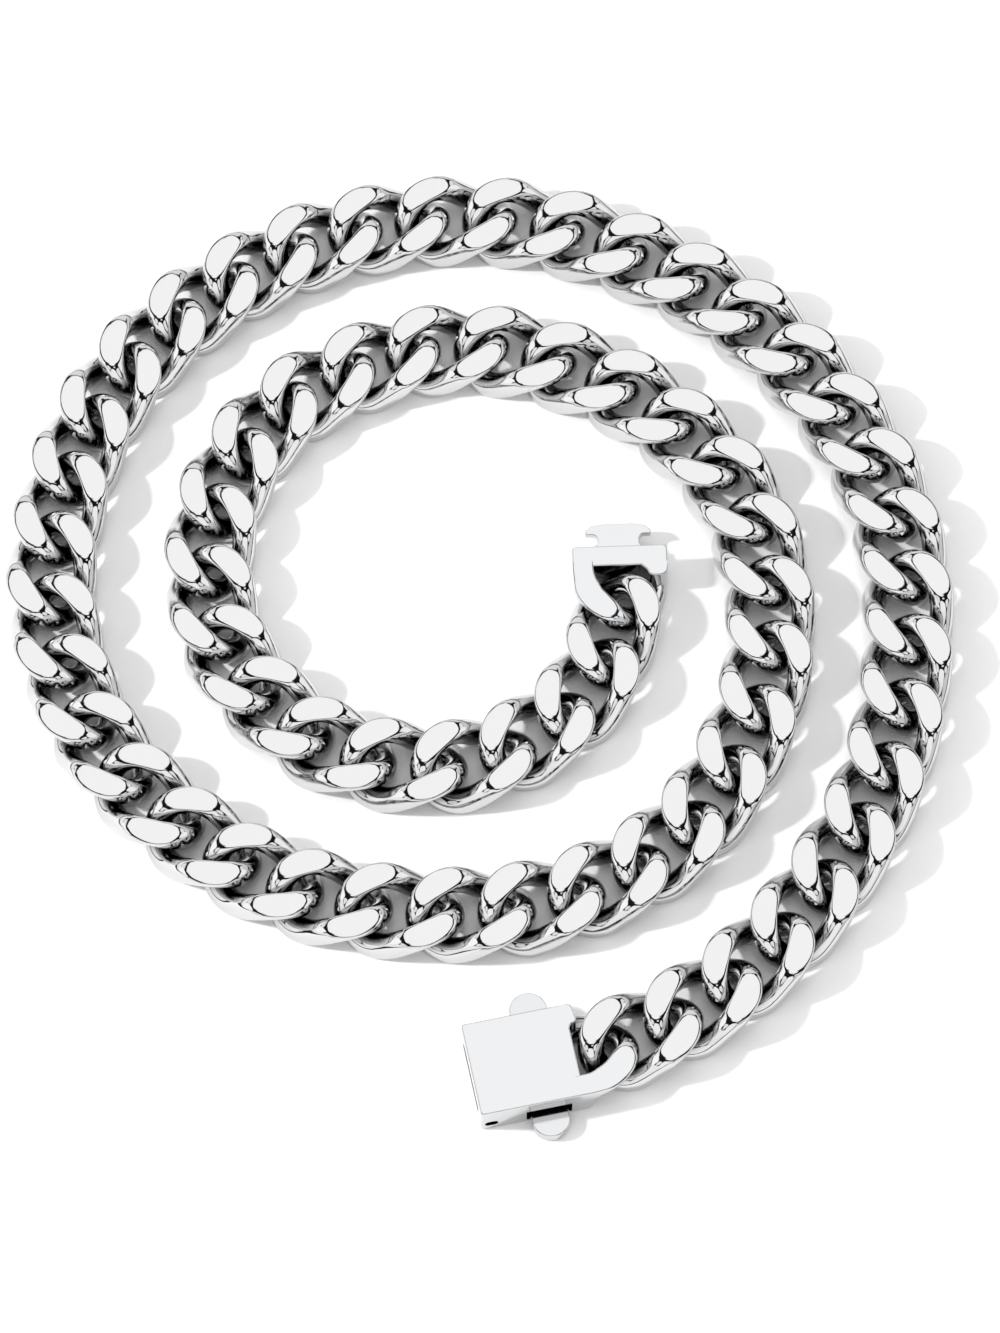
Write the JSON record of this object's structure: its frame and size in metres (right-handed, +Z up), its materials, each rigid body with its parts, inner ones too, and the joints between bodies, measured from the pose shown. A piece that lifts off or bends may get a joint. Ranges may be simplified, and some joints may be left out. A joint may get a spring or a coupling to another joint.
{
  "type": "curb chain necklace",
  "caption": "Flat-ground curb chain necklace of polished steel, laid in an open two-turn coil, with a box clasp that has two push tabs and a T-shaped tongue.",
  "frame": {"origin": "on the surface that the necklace lies on, under the middle of its outline", "axes": "+Z up from the surface, +X to the right and +Y away from the viewer as the necklace lies, with the clasp box at the near side"},
  "size_m": [0.1225, 0.135, 0.0052],
  "materials": {
    "polished_steel": "polished",
    "tab_steel": "polished",
    "link_steel": "polished"
  },
  "bodies": {
    "necklace": {"clasp_box": "polished_steel", "outer_chain": "link_steel", "inner_chain": "link_steel", "tongue_end": "polished_steel"},
    "front_push_tab": {"front_tab": "tab_steel"},
    "back_push_tab": {"back_tab": "tab_steel"}
  },
  "joints": [
    {"name": "front_tab_press", "type": "slide", "parent": "necklace", "child": "front_push_tab", "axis": [-0.2079, 0.9781, 0], "range_m": [0, 0.0014], "stiffness_N_per_m": 400},
    {"name": "back_tab_press", "type": "slide", "parent": "necklace", "child": "back_push_tab", "axis": [0.2079, -0.9781, 0], "range_m": [0, 0.0014], "stiffness_N_per_m": 400}
  ]
}
